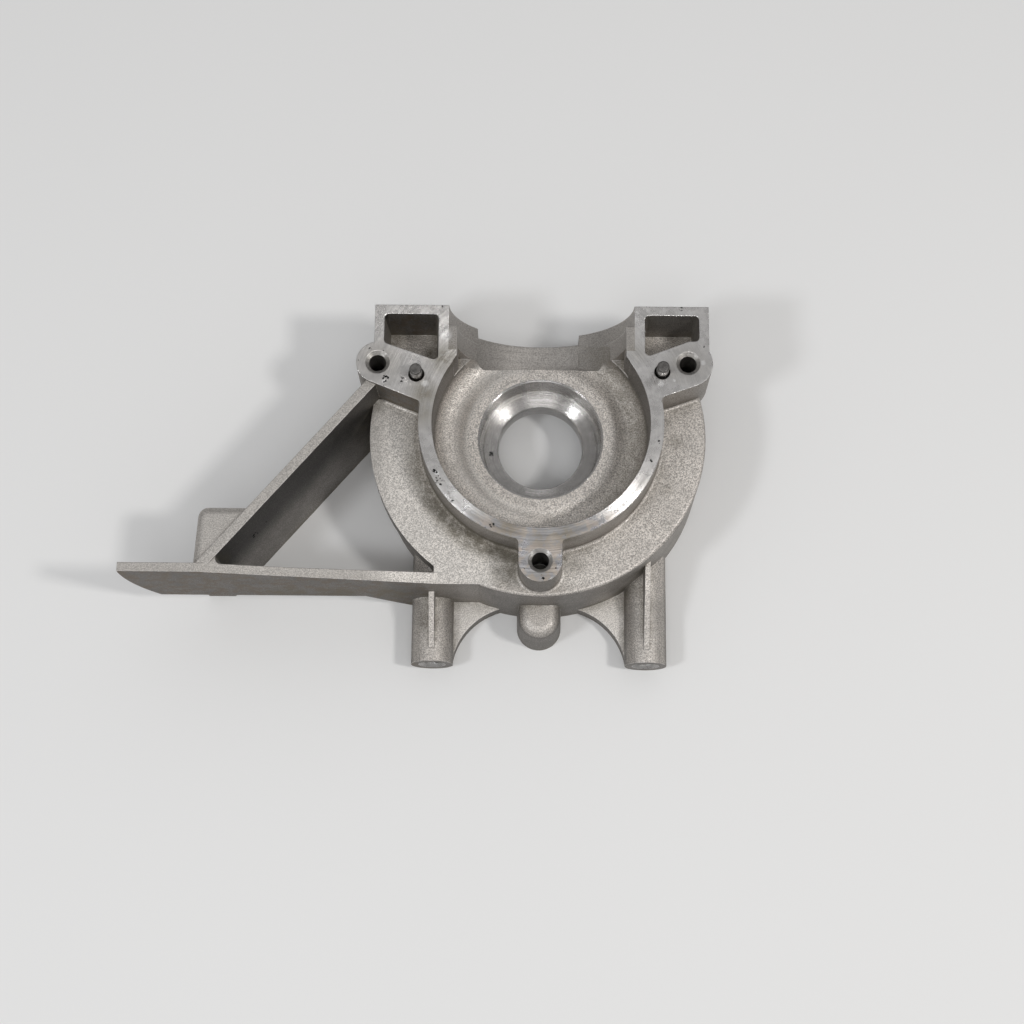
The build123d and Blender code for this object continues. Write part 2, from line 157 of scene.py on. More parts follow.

# Dark patches, partly oil stains and dirt, partly painted shade: place and reach in millimetres, and
# strength from 0 to 1
STAINS_AND_SHADE = (
    ((-31.5, 21.0, 19.0), 9.0, 1.00),
    ((31.0, 23.5, 19.0), 6.0, 0.45),
    ((-10.5, -46.0, 4.5), 7.5, 0.85),
    ((-37.5, 9.0, 19.0), 8.0, 1.00),
    ((43.5, -2.0, 4.5), 4.0, 0.45),
    ((41.0, -18.0, 4.5), 3.5, 0.30),
    ((12.0, -44.0, 4.5), 3.5, 0.35),
    ((-37.0, 29.0, 2.5), 3.0, 0.90),
    ((-10.0, -34.8, 19.0), 8.0, 0.80),
    ((8.0, -36.5, 19.0), 8.0, 0.85),
    ((0.0, -38.0, 19.0), 6.0, 0.75),
    ((-20.0, -31.0, 19.0), 5.0, 0.35),
    ((-52.0, 20.0, 19.0), 11.0, 0.60),
    ((47.0, 20.0, 19.0), 10.0, 0.60),
    ((0.0, -47.5, 19.0), 8.0, 0.70),
    ((-33.0, -20.0, 19.0), 6.0, 0.30),
    ((33.0, -20.0, 19.0), 4.0, 0.30),
    ((-26.0, -26.5, 19.0), 3.0, 0.25),
    ((-38.0, 3.0, 19.0), 9.0, 0.80),
    ((-36.5, -58.0, -15.0), 6.0, 0.55),
    ((-82.0, -50.0, -9.0), 12.0, 0.75),
    ((-66.0, -50.0, -11.0), 12.0, 0.85),
    ((-48.0, -50.0, -10.0), 11.0, 0.75),
)

# Bright rubbed marks: place and reach in millimetres, and strength from 0 to 1
RUBS = (
    ((-37.3, 12.6, 19.0), 1.6, 0.8),
    ((38.3, 13.2, 19.0), 1.4, 0.8),
    ((-33.0, -17.4, 19.0), 1.0, 0.9),
    ((-50.6, 13.2, 19.0), 0.9, 0.9),
    ((42.6, 14.2, 19.0), 0.7, 0.9),
    ((51.9, 20.3, 19.0), 1.2, 0.6),
    ((-31.0, 29.0, 19.0), 2.6, 0.5),
)

# Lamps: name, place and size in metres, the property that holds the power, and colour
LAMPS = (
    ("right lamp", (0.64, -0.25, 0.99), 0.12, "right_lamp", (1.0, 0.985, 0.96)),
    ("left lamp", (-0.66, -0.41, 0.94), 0.16, "left_lamp", (0.96, 0.98, 1.0)),
    ("top lamp", (0.0, -0.50, 1.15), 0.5, "top_lamp", (1.0, 1.0, 1.0)),
)

# Camera: place in metres, turn in radians, lens and sensor in millimetres
EYE_PLACE = (-0.005630, -0.190710, 0.604037)
EYE_TURN = (0.2681, 0.0056, 0.0084)
LENS = 67.783
SENSOR = 36.0


def colour_of(name, description, default):
    """A colour setting in the sidebar."""
    return bpy.props.FloatVectorProperty(name=name, description=description, subtype="COLOR",
                                         size=3, min=0, max=1, default=default)


def length_of(name, description, default):
    """A length setting in the sidebar, in metres."""
    return bpy.props.FloatProperty(name=name, description=description, unit="LENGTH", default=default)


def power_of(name, description, default):
    """A lamp's power in the sidebar, in watts."""
    return bpy.props.FloatProperty(name=name, description=description, unit="POWER", default=default)


class CastingLook(bpy.types.PropertyGroup):
    skin: colour_of("Cast skin", "Colour of the sand-textured skin", (0.66, 0.62, 0.58))
    cut: colour_of("Cut metal", "Colour of the milled and bored faces", (0.73, 0.71, 0.695))
    # The grime colour also paints shade in the corners and in the dark patches
    grime_and_shade: colour_of("Grime", "Colour of the oil film, and of the painted shade in the corners", (0.22, 0.20, 0.16))
    # The pit colour also paints the deepest shade, on the sides and in holes
    pit_and_shade: colour_of("Pits", "Colour inside the pits, and of the deepest painted shade", (0.03, 0.03, 0.03))
    # The glint colour is a painted highlight, and painted light on the moat
    painted_glint: colour_of("Glint", "Painted highlight on the grains that catch the light, and painted light on the moat", (0.95, 0.92, 0.88))
    # Lighter skin that paints light on the flange's left and on the web
    painted_light_low: colour_of("Pale skin, dark grain", "Dark grain of the skin painted as lit", (0.62, 0.60, 0.57))
    painted_light_high: colour_of("Pale skin, light grain", "Light grain of the skin painted as lit", (1.0, 0.97, 0.93))
    painted_light_web_low: colour_of("Web, dark grain", "Dark grain of the web between the feet, painted as lit", (0.66, 0.63, 0.60))
    dirt: colour_of("Dirt", "Colour of the dirt on the bracket plate", (0.17, 0.13, 0.09))
    # Tones that the lower ring darkens to
    low_ring_blue: colour_of("Lower ring, blue", "Cool tone that the lower ring darkens to", (0.16, 0.165, 0.19))
    low_ring_brown: colour_of("Lower ring, brown", "Warm tone that the lower ring darkens to", (0.27, 0.20, 0.145))
    # A painted sheen on the bearing seat's wall
    painted_seat_sheen: colour_of("Seat", "Painted sheen on the bearing seat's wall", (0.90, 0.88, 0.86))
    rubbed: colour_of("Rubbed", "Colour of the rubbed marks", (0.92, 0.91, 0.90))
    grain: length_of("Grain", "Size of one grain of the cast skin", 0.00036)
    relief: length_of("Relief", "Height of the grain of the cast skin", 0.00007)
    edge: length_of("Edge", "Radius that the tumbled edges are softened to", 0.0004)
    grime_and_shade_reach: length_of("Grime reach", "How far from a corner the grime and painted shade spread", 0.007)


class PinLook(bpy.types.PropertyGroup):
    steel: colour_of("Steel", "Colour of the dowel pins", (0.24, 0.23, 0.22))
    worn: colour_of("Worn edge", "Colour of the pins' worn edges", (0.75, 0.73, 0.71))
    edge: length_of("Edge", "Radius of the pins' edges", 0.0002)
    relief: length_of("Relief", "Height of the pins' turned rings", 0.00002)


class StageLook(bpy.types.PropertyGroup):
    table: colour_of("Table", "Colour of the table", (0.79, 0.787, 0.784))
    table_size: length_of("Table size", "Width of the table", 6.0)
    right_lamp: power_of("Right lamp", "Power of the lamp on the right", 3.9)
    left_lamp: power_of("Left lamp", "Power of the lamp on the left", 2.9)
    top_lamp: power_of("Top lamp", "Power of the wide lamp above", 2.0)
    sky: bpy.props.FloatProperty(name="Room light", description="Strength of the room's even light",
                                 default=0.50)


class Sheet:
    """Adds shader nodes to one tree and joins them."""

    def __init__(self, tree):
        self.tree = tree
        self.count = 0

    def add(self, kind, settings=None, **inputs):
        node = self.tree.nodes.new(kind)
        node.location = (220 * (self.count % 12), -180 * (self.count // 12))
        self.count += 1
        for name, value in (settings or {}).items():
            setattr(node, name, value)
        for name, value in inputs.items():
            numbered = name[:1] == "i" and name[1:].isdigit()
            self.put(node.inputs[int(name[1:]) if numbered else name.replace("_", " ")], value)
        return node

    def put(self, socket, value):
        if isinstance(value, bpy.types.NodeSocket):
            self.tree.links.new(value, socket)
        else:
            socket.default_value = value

    def group(self, tree, **inputs):
        return self.add("ShaderNodeGroup", {"node_tree": tree}, **inputs).outputs

    def math(self, operation, a, b=0.0, c=0.0, clamp=False):
        settings = {"operation": operation, "use_clamp": clamp}
        return self.add("ShaderNodeMath", settings, i0=a, i1=b, i2=c).outputs[0]

    def vector(self, operation, a, b=(0, 0, 0)):
        node = self.add("ShaderNodeVectorMath", {"operation": operation}, i0=a, i1=b)
        scalar = operation in ("LENGTH", "DISTANCE", "DOT_PRODUCT")
        return node.outputs["Value" if scalar else "Vector"]

    def scale(self, a, amount):
        node = self.add("ShaderNodeVectorMath", {"operation": "SCALE"}, Vector=a, Scale=amount)
        return node.outputs["Vector"]

    def axes(self, vector):
        return self.add("ShaderNodeSeparateXYZ", Vector=vector).outputs

    def join(self, **parts):
        return self.add("ShaderNodeCombineXYZ", **parts).outputs[0]

    def ramp(self, value, low, high, start=0.0, end=1.0):
        node = self.add("ShaderNodeMapRange", {"interpolation_type": "SMOOTHSTEP"}, Value=value,
                        From_Min=low, From_Max=high, To_Min=start, To_Max=end)
        return node.outputs["Result"]

    def mix(self, amount, a, b):
        node = self.add("ShaderNodeMix", {"data_type": "RGBA"}, i0=amount)
        for key, value in ((6, a), (7, b)):
            socket = isinstance(value, bpy.types.NodeSocket)
            self.put(node.inputs[key], value if socket else (*value[:3], 1))
        return node.outputs[2]

    def pick(self, mask, a, b):
        return self.add("ShaderNodeMix", {"data_type": "VECTOR"}, i0=mask, i4=a, i5=b).outputs[1]

    def noise(self, spot, scale, detail=3.0, roughness=0.6, output="Fac"):
        node = self.add("ShaderNodeTexNoise", Vector=spot, Scale=scale, Detail=detail,
                        Roughness=roughness)
        return node.outputs[output]

    def above(self, value, limit):
        return self.math("GREATER_THAN", value, limit)

    def under(self, value, limit):
        return self.math("LESS_THAN", value, limit)

    def times(self, value, share):
        return self.math("MULTIPLY", value, share)

    def line(self, value, slope, start):
        return self.math("MULTIPLY_ADD", value, slope, start)

    def both(self, *masks):
        return reduce(lambda a, b: self.math("MULTIPLY", a, b), masks)

    def either(self, *masks):
        return reduce(lambda a, b: self.math("MAXIMUM", a, b), masks)

    def rest(self, mask):
        return self.math("SUBTRACT", 1.0, mask)

    def normal(self):
        return self.add("ShaderNodeNewGeometry").outputs["Normal"]

    def millimetres(self):
        """Object coordinates in millimetres."""
        place = self.add("ShaderNodeTexCoord").outputs["Object"]
        return self.add("ShaderNodeMapping", Vector=place, Scale=(1 / MM,) * 3).outputs["Vector"]

    def near(self, spot, places):
        """How near a point is to the places listed, from 0 to each place's strength."""
        marks = []
        for centre, reach, core, full in places:
            marks.append(self.ramp(self.vector("DISTANCE", spot, centre), reach, core, 0.0, full))
        return self.either(*marks)

    def finish(self, colour, rough, normal=None, metallic=0.0):
        """The surface shader and the material's output."""
        shade = self.add("ShaderNodeBsdfPrincipled", Base_Color=colour, Roughness=rough,
                         Metallic=metallic)
        if normal is not None:
            self.put(shade.inputs["Normal"], normal)
        self.add("ShaderNodeOutputMaterial", Surface=shade.outputs[0])


def toned(colour, share):
    """A colour made darker or lighter."""
    return [min(1, c * share) for c in colour]


def new_group(name, ins, outs):
    """A node group with the inputs and outputs named, and its sheet, entry and exit."""
    tree = bpy.data.node_groups.new(name, "ShaderNodeTree")
    for socket, kind in ins:
        tree.interface.new_socket(socket, in_out="INPUT", socket_type=kind)
    for socket, kind in outs:
        tree.interface.new_socket(socket, in_out="OUTPUT", socket_type=kind)
    sheet = Sheet(tree)
    return tree, sheet, sheet.add("NodeGroupInput").outputs, sheet.add("NodeGroupOutput").inputs


def new_material(name):
    """An empty node material and its sheet."""
    mat = bpy.data.materials.new(name)
    mat.use_nodes = True
    mat.node_tree.nodes.clear()
    return mat, Sheet(mat.node_tree)


def edge_wear_group():
    """Rubbed edges: a softened normal, and a mask of the edges that tumbling brightens."""
    tree, s, enter, leave = new_group(
        "Edge wear", (("Radius", "NodeSocketFloat"), ("Spot", "NodeSocketVector")),
        (("Normal", "NodeSocketVector"), ("Edge", "NodeSocketFloat")))
    soft = s.add("ShaderNodeBevel", {"samples": 6}, Radius=enter["Radius"]).outputs[0]
    turn = s.rest(s.vector("DOT_PRODUCT", soft, s.normal()))
    patch = s.noise(enter["Spot"], WEAR_SCALE, 4.0, 0.5)
    s.put(leave["Normal"], soft)
    s.put(leave["Edge"], s.both(s.ramp(turn, 0.02, 0.16), s.ramp(patch, 0.35, 0.6)))
    return tree


def grime_and_shade_group():
    """Darkening in the corners, patchy: oil film and dust, and painted shade where the corners are hidden
    from the light.
    """
    tree, s, enter, leave = new_group(
        "Grime", (("Spot", "NodeSocketVector"), ("Reach", "NodeSocketFloat")),
        (("Amount", "NodeSocketFloat"),))
    near = s.add("ShaderNodeAmbientOcclusion", {"samples": 8}, Distance=enter["Reach"]).outputs["AO"]
    patch = s.noise(enter["Spot"], GRIME_AND_SHADE_SCALE, 5.0)
    s.put(leave["Amount"], s.both(s.ramp(near, 0.92, 0.35), s.ramp(patch, 0.30, 0.68)))
    return tree


def sand_group():
    """The grain that a sand mould leaves: a height, a speckle, and small facets that glint."""
    tree, s, enter, leave = new_group(
        "Sand grain", (("Spot", "NodeSocketVector"), ("Grain", "NodeSocketFloat")),
        (("Height", "NodeSocketFloat"), ("Speckle", "NodeSocketFloat"), ("Glint", "NodeSocketFloat")))
    fineness = s.math("DIVIDE", 1.0, enter["Grain"])
    fine = s.noise(enter["Spot"], fineness, 1.0, 0.5)
    wide = s.noise(enter["Spot"], s.times(fineness, 0.36), 1.0)
    aside = s.vector("ADD", enter["Spot"], (31.0, 17.0, 5.0))
    facet = s.noise(aside, s.times(fineness, 0.8), 0.0)
    s.put(leave["Height"], s.line(wide, 0.6, fine))
    s.put(leave["Speckle"], s.ramp(s.line(wide, 0.12, s.times(fine, 0.88)), 0.34, 0.66))
    s.put(leave["Glint"], s.ramp(facet, 0.62, 0.72))
    return tree


def turned_group():
    """Tool marks: the normal rocks across them, so that a lamp's reflection draws out into a streak."""
    tree, s, enter, leave = new_group(
        "Turned marks", (("Normal", "NodeSocketVector"), ("Along", "NodeSocketVector"),
                         ("Ring", "NodeSocketVector"), ("Amount", "NodeSocketFloat")),
        (("Normal", "NodeSocketVector"), ("Mark", "NodeSocketFloat")))
    across = s.vector("CROSS_PRODUCT", s.vector("NORMALIZE", enter["Along"]), enter["Normal"])
    mark = s.noise(enter["Ring"], MARK_SCALE, 4.0, 0.8)
    rock = s.scale(across, s.both(s.math("SINE", s.times(mark, MARK_WAVES)), enter["Amount"]))
    s.put(leave["Normal"], s.vector("NORMALIZE", s.vector("ADD", enter["Normal"], rock)))
    s.put(leave["Mark"], mark)
    return tree


def survey(s):
    """Where a point of the casting is, in millimetres, and which way its surface faces."""
    spot = s.millimetres()
    x, y, z = s.axes(spot)
    facing = s.axes(s.normal())
    plan = s.vector("MULTIPLY", spot, (1, 1, 0))
    front = s.vector("MULTIPLY", spot, (1, 0, 1))
    off_cylinder = s.vector("SUBTRACT", front, (0, 0, SPLIT_Z))
    return SimpleNamespace(spot=spot, x=x, y=y, z=z, facing=facing, level=s.math("ABSOLUTE", facing[2]),
                           plan=plan, front=front, radius=s.vector("LENGTH", plan),
                           off_cylinder=off_cylinder, cylinder_radius=s.vector("LENGTH", off_cylinder))


def cut_faces(s, at):
    """Masks of the milled, bored and drilled faces, and the centre that each hole is drilled round."""
    split = s.above(at.z, SPLIT_Z - MILLED_SKIM)
    face = s.above(at.y, FACE_Y - MILLED_SKIM)
    bore = s.both(s.under(at.radius, BEARING_MOUTH_R), s.under(at.z, FLOOR_Z + BORED_SKIM))
    skirt = s.both(s.under(at.cylinder_radius, SPIGOT_R + SPIGOT_SKIM),
                   s.above(at.y, SKIRT_Y - BORED_SKIM))
    centre, holes = (0, 0, 0), []
    for hole_x, hole_y in SCREW_HOLES:
        mouth = s.under(s.vector("DISTANCE", at.plan, (hole_x, hole_y, 0)), SCREW_MOUTH_R)
        holes.append(s.both(mouth, s.rest(split), s.above(at.z, SPLIT_Z - SCREW_DEPTH)))
        centre = s.pick(holes[-1], centre, (hole_x, hole_y, 0))
    holes = s.either(*holes)
    seats = [s.under(s.vector("DISTANCE", at.plan, (*place, 0)), DOWEL_MOUTH_R) for place in DOWELS]
    seats = s.both(s.either(*seats), s.rest(split))
    ends = [s.under(s.vector("DISTANCE", at.front, (side * POST_X, 0, POST_Z)), POST_MOUTH_R)
            for side in (-1, 1)]
    ends = s.both(s.either(*ends), s.under(at.y, POST_Y))
    inner = s.both(bore, s.under(at.z, SHOULDER_Z + BORED_SKIM))
    wall = s.both(s.rest(inner), bore, s.rest(at.level))
    return SimpleNamespace(split=split, bore=bore, skirt=skirt, holes=holes, seats=seats, ends=ends,
                           inner=inner, wall=wall, centre=centre,
                           all=s.either(split, face, skirt, bore, holes, seats, ends))


def tool_marks(s, at, cut, normal):
    """Marks that run round the crank axis, each screw hole and the cylinder's axis."""
    off_x, off_y, _ = s.axes(s.vector("SUBTRACT", at.plan, cut.centre))
    around = s.join(X=s.times(off_y, -1.0), Y=off_x)
    off = s.math("SQRT", s.math("ADD", s.both(off_x, off_x), s.both(off_y, off_y)))
    side_x, _, side_z = s.axes(at.off_cylinder)
    around_cylinder = s.join(X=side_z, Z=s.times(side_x, -1.0))
    rocking = s.both(cut.all, s.line(cut.skirt, SKIRT_ROCK, s.line(cut.bore, BORE_ROCK, MARK_ROCK)))
    return s.group(turned_group(), Normal=normal, Along=s.pick(cut.skirt, around, around_cylinder),
                   Ring=s.pick(cut.skirt, s.join(X=off, Y=at.z), s.join(X=at.cylinder_radius, Y=at.y)),
                   Amount=rocking)


def blemishes(s, at, blotch):
    """Pits, rubbed marks, and dark patches: oil stains and painted shade, the dark band at the foot of the
    ring, and a painted shadow on the right of the chamber floor.
    """
    ragged = s.noise(at.spot, TORN_SCALE, 2.0, 0.5, "Color")
    torn = s.vector("ADD", at.spot, s.scale(s.vector("SUBTRACT", ragged, (0.5, 0.5, 0.5)), TORN_REACH))
    cells = s.add("ShaderNodeTexVoronoi", Vector=torn, Scale=PIT_CELL_SCALE).outputs["Distance"]
    crowd = s.near(at.spot, [(place, reach, reach * PIT_CORE, full * PIT_FILL)
                             for place, reach, full in PIT_GROUPS])
    pits = s.ramp(s.math("SUBTRACT", crowd, cells), -0.03, 0.05)
    rubs = s.near(torn, [(place, reach, reach * RUB_CORE, full) for place, reach, full in RUBS])
    foot = s.both(s.ramp(at.radius, *FOOT_FADE_R), s.ramp(at.x, *FOOT_FADE_X), s.ramp(at.y, *FOOT_FADE_Y),
                  s.under(at.z, FOOT_TOP_Z), s.above(at.radius, RING_R - 1))
    # Painted shadow on the right side of the chamber floor
    chamber_shadow = s.both(s.ramp(at.radius, *SHADOW_FADE_R), s.under(at.z, SHADOW_TOP_Z),
                 s.ramp(at.x, *SHADOW_FADE_X, 0.0, 0.5), s.under(at.radius, RING_R - 1))
    spots = s.near(at.spot, [(place, reach, 0.0, full) for place, reach, full in STAINS_AND_SHADE])
    # Dark patches: oil stains and dirt together with painted shade, the painted chamber shadow among them
    dark_patches = s.both(s.either(spots, foot, chamber_shadow), s.ramp(blotch, 0.30, 0.60, 0.45, 1.0))
    return SimpleNamespace(pits=pits, rubs=rubs, dark_patches=dark_patches)


def level_colour(s, at, look, speckle, painted_glint, cloud, below):
    """The skin that faces up: speckled, with painted glints on the grains, painted shade on the feet,
    painted light on the left of the flange, on the moat's left slope and on the web, and darker over the
    bracket.
    """
    skin = s.mix(speckle, *(toned(look.skin, share) for share in LEVEL_TONES))
    # Painted highlight: a bright colour on the grains that glint
    skin = s.mix(s.times(painted_glint, 0.45), skin, look.painted_glint)
    skin = s.mix(s.ramp(cloud, 0.34, 0.58, 0.25, 0.0), skin, toned(look.skin, 0.60))
    # Painted shade on the feet
    skin = s.mix(s.times(below, 0.25), skin, toned(look.skin, 0.5))
    # Painted light: the flange is lighter towards the left
    lit_flange = s.both(s.above(at.radius, RING_R + 2), s.under(at.y, FLANGE_END_Y),
                    s.ramp(at.x, *FLANGE_FADE_X, 0.0, 0.42), s.rest(below))
    skin = s.mix(lit_flange, skin, s.mix(speckle, look.painted_light_low, look.painted_light_high))
    # Painted light on the left of the moat's slope, in the glint colour
    lit_moat = s.both(s.ramp(at.radius, *MOAT_INNER_R), s.ramp(at.radius, *MOAT_OUTER_R),
                  s.ramp(at.x, *MOAT_FADE_X, 0.0, 0.34), s.under(at.z, FLOOR_Z))
    skin = s.mix(lit_moat, skin, look.painted_glint)
    skin = s.mix(s.ramp(at.x, *BRACKET_FADE_X, 0.0, 0.48), skin, toned(look.skin, 0.45))
    # Painted light on the web between the feet
    lit_web = s.both(below, s.under(at.z, POST_Z + 2.5), s.ramp(at.level, 0.8, 0.95))
    return s.mix(s.times(lit_web, 0.6), skin, s.mix(speckle, look.painted_light_web_low, look.painted_light_high))


def upright_colour(s, at, look, speckle, cloud, blotch, below):
    """The skin of the sides: a darker copy of the skin as painted shade, with painted shade on the feet,
    the bracket plate's face and the chamber's wall, dirt on the plate, and the darkest painted shade
    inside the slanting wall, growing darker towards its top.
    """
    # Painted shade: the sides take darker tones of the skin
    side = s.mix(speckle, *(toned(look.skin, share) for share in UPRIGHT_TONES))
    side = s.mix(s.ramp(cloud, 0.36, 0.60, 0.35, 0.0), side, toned(look.skin, 0.25))
    plate = s.both(s.ramp(at.x, *PLATE_FADE_X), s.ramp(at.facing[1], -0.7, -0.95))
    # Painted shade on the bracket plate's face and on the feet
    side = s.mix(s.either(s.times(plate, 0.45), s.times(below, 0.32)), side, look.pit_and_shade)
    side = s.mix(s.both(plate, s.ramp(blotch, 0.42, 0.62, 0.0, 0.6)), side, look.dirt)
    # Painted shade on the chamber's wall
    shaded_chamber = s.both(s.under(at.radius, RING_R - 2), s.above(at.z, FLOOR_Z + 2))
    side = s.mix(s.times(shaded_chamber, 0.3), side, look.pit_and_shade)
    # Painted shade inside the slanting wall, darker towards its top
    shaded_inside = s.both(s.under(at.x, WALL_X), s.above(at.facing[0], 0.4), s.under(at.facing[1], -0.3))
    return s.mix(s.both(shaded_inside, s.ramp(at.z, WALL_LOW_Z, WALL_MID_Z, 0.12, 0.72)), side, look.pit_and_shade)


def cut_colour(s, at, look, cut, speckle, blotch, mark):
    """The cut metal: blotched, ringed with tool marks, darker blue and brown on the lower ring, with
    painted shade on one side of the inner bore, a painted sheen on the seat's wall, the spigot recess in
    darker painted-shade tones of the skin, and painted shade on the post ends, in the holes and in the
    dowel seats.
    """
    metal = s.mix(s.ramp(blotch, 0.32, 0.68), toned(look.cut, 0.80), look.cut)
    rings = s.both(s.ramp(mark, 0.38, 0.60, 0.22, 0.0), s.line(cut.bore, 2.6, s.rest(cut.skirt)))
    metal = s.mix(rings, metal, toned(look.cut, 0.5))
    # The lower part of the split face darkens to blue and brown
    low_ring_tone = s.mix(s.ramp(blotch, 0.42, 0.58), look.low_ring_blue, look.low_ring_brown)
    metal = s.mix(s.both(cut.split, s.ramp(at.y, *RING_LOW_Y, 0.0, 0.62)), metal, low_ring_tone)
    # Painted shade on one side of the inner bore, below the shoulder
    shaded_side = s.ramp(s.math("SUBTRACT", s.times(at.x, 0.6), at.y), -12.0, 14.0, 0.0, 0.62)
    metal = s.mix(s.both(cut.inner, shaded_side), metal, toned(look.cut, 0.42))
    # Painted sheen on the bearing seat's wall
    metal = s.mix(s.times(cut.wall, 0.6), metal, look.painted_seat_sheen)
    # Painted shade: the spigot recess takes darker tones of the skin
    shaded_recess = s.mix(speckle, *(toned(look.skin, share) for share in RECESS_TONES))
    metal = s.mix(s.times(cut.skirt, 0.9), metal, shaded_recess)
    # Painted shade on the post ends and in the screw holes
    metal = s.mix(s.line(cut.holes, 0.25, s.times(cut.ends, 0.6)), metal, toned(look.cut, 0.35))
    # Black painted shade deep in the screw holes and in the dowel seats
    hole_shade = s.both(cut.holes, s.ramp(at.z, *HOLE_DARK_Z))
    return s.mix(s.either(hole_shade, cut.seats), metal, look.pit_and_shade)


def casting_material(look):
    """Light alloy: sandy skin as cast, turned faces and bores, pits, stains and grime in the corners, with
    painted shade in the corners, on the sides, in the recesses and holes, and painted light and glints on
    some faces.
    """
    mat, s = new_material("Light alloy casting")
    at = survey(s)
    cut = cut_faces(s, at)
    wear = s.group(edge_wear_group(), Radius=look.edge, Spot=at.spot)
    turned = tool_marks(s, at, cut, wear["Normal"])
    sand = s.group(sand_group(), Spot=at.spot, Grain=look.grain / MM)
    grime_and_shade = s.group(grime_and_shade_group(), Spot=at.spot, Reach=look.grime_and_shade_reach)["Amount"]
    cloud = s.noise(at.spot, CLOUD_SCALE, 4.0)
    blotch = s.noise(at.spot, BLOTCH_SCALE, 4.0, 0.65)
    marks = blemishes(s, at, blotch)
    upright = s.ramp(at.level, 0.20, 0.65)
    below = s.ramp(at.y, *FEET_FADE_Y)

    skin = s.mix(upright, upright_colour(s, at, look, sand["Speckle"], cloud, blotch, below),
                 level_colour(s, at, look, sand["Speckle"], sand["Glint"], cloud, below))
    metal = cut_colour(s, at, look, cut, sand["Speckle"], blotch, turned["Mark"])
    colour = s.mix(cut.all, skin, metal)
    colour = s.mix(s.times(wear["Edge"], 0.5), colour, toned(look.cut, 1.4))
    # Painted shade and grime in the corners, weaker on the cut faces
    colour = s.mix(s.both(grime_and_shade, s.line(cut.all, -0.45, 0.75)), colour, look.grime_and_shade)
    # The dark patches in the grime colour: oil stains and painted shade
    colour = s.mix(s.times(marks.dark_patches, 0.85), colour, look.grime_and_shade)
    colour = s.mix(marks.rubs, colour, look.rubbed)
    colour = s.mix(marks.pits, colour, look.pit_and_shade)

    rough_skin = s.line(sand["Glint"], -0.12, s.line(cloud, 0.14, 0.54))
    rough_cut = s.line(cut.skirt, 0.22, s.line(cut.bore, -0.10, s.line(blotch, 0.16, 0.20)))
    rough = s.line(s.math("SUBTRACT", rough_cut, rough_skin), cut.all, rough_skin)
    dull = s.either(marks.pits, s.times(grime_and_shade, 0.4), s.times(marks.dark_patches, 0.6))
    rough = s.math("ADD", rough, s.times(dull, 0.4), clamp=True)

    grain = s.both(sand["Height"], s.line(upright, 0.4, 0.6), s.rest(cut.all))
    height = s.math("SUBTRACT", grain, s.times(marks.pits, 2.0))
    bump = s.add("ShaderNodeBump", Height=height, Distance=look.relief, Strength=1.0,
                 Normal=turned["Normal"]).outputs[0]
    s.finish(colour, rough, bump, metallic=1.0)
    return mat


def pin_material(look):
    """Ground steel pins: fine turned rings, and a dulled end."""
    mat, s = new_material("Dowel steel")
    spot = s.millimetres()
    wear = s.group(bpy.data.node_groups["Edge wear"], Radius=look.edge, Spot=spot)
    rings = s.noise(s.vector("MULTIPLY", spot, PIN_RINGS), 1.0, 4.0, 0.5)
    dark_patches = s.noise(spot, PIN_STAIN_SCALE, 4.0, 0.65)
    colour = s.mix(s.ramp(dark_patches, 0.35, 0.7), look.steel, toned(look.steel, 0.55))
    colour = s.mix(s.times(wear["Edge"], 0.5), colour, look.worn)
    bump = s.add("ShaderNodeBump", Height=rings, Distance=look.relief, Strength=1.0,
                 Normal=wear["Normal"]).outputs[0]
    s.finish(colour, s.line(dark_patches, 0.25, 0.17), bump, metallic=1.0)
    return mat


def table_material(look):
    """A plain pale table top."""
    mat, s = new_material("Table")
    cloud = s.noise(s.add("ShaderNodeTexCoord").outputs["Object"], TABLE_SCALE, 2.0, 0.5)
    s.finish(s.mix(cloud, toned(look.table, 0.985), look.table), 0.62)
    return mat


def dress(name, mat):
    """Gives a CAD node its material."""
    node = bpy.data.objects.get(name)
    if node is None:
        raise RuntimeError("no node named " + name)
    node.data.materials.clear()
    node.data.materials.append(mat)


def place_in_scene(name, data):
    """Links a new object that holds the data."""
    thing = bpy.data.objects.new(name, data)
    bpy.context.scene.collection.objects.link(thing)
    return thing


def lay_table(look):
    """A flat table that the part's lowest point rests on."""
    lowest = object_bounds()[0][2]
    bm = bmesh.new()
    bmesh.ops.create_grid(bm, x_segments=1, y_segments=1, size=look.table_size / 2)
    bmesh.ops.translate(bm, verts=bm.verts, vec=(0, 0, lowest))
    mesh = bpy.data.meshes.new("table")
    bm.to_mesh(mesh)
    bm.free()
    table = place_in_scene("table", mesh)
    mesh.materials.append(table_material(look))
    table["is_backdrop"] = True


def hang_lamp(name, place, size, power, colour):
    """A square softbox that looks at the middle of the part."""
    data = bpy.data.lights.new(name, "AREA")
    data.size = size
    data.energy = power
    data.color = colour
    thing = place_in_scene(name, data)
    thing.location = place
    aim = -thing.location.normalized()
    thing.rotation_euler = aim.to_track_quat("-Z", "Y").to_euler()


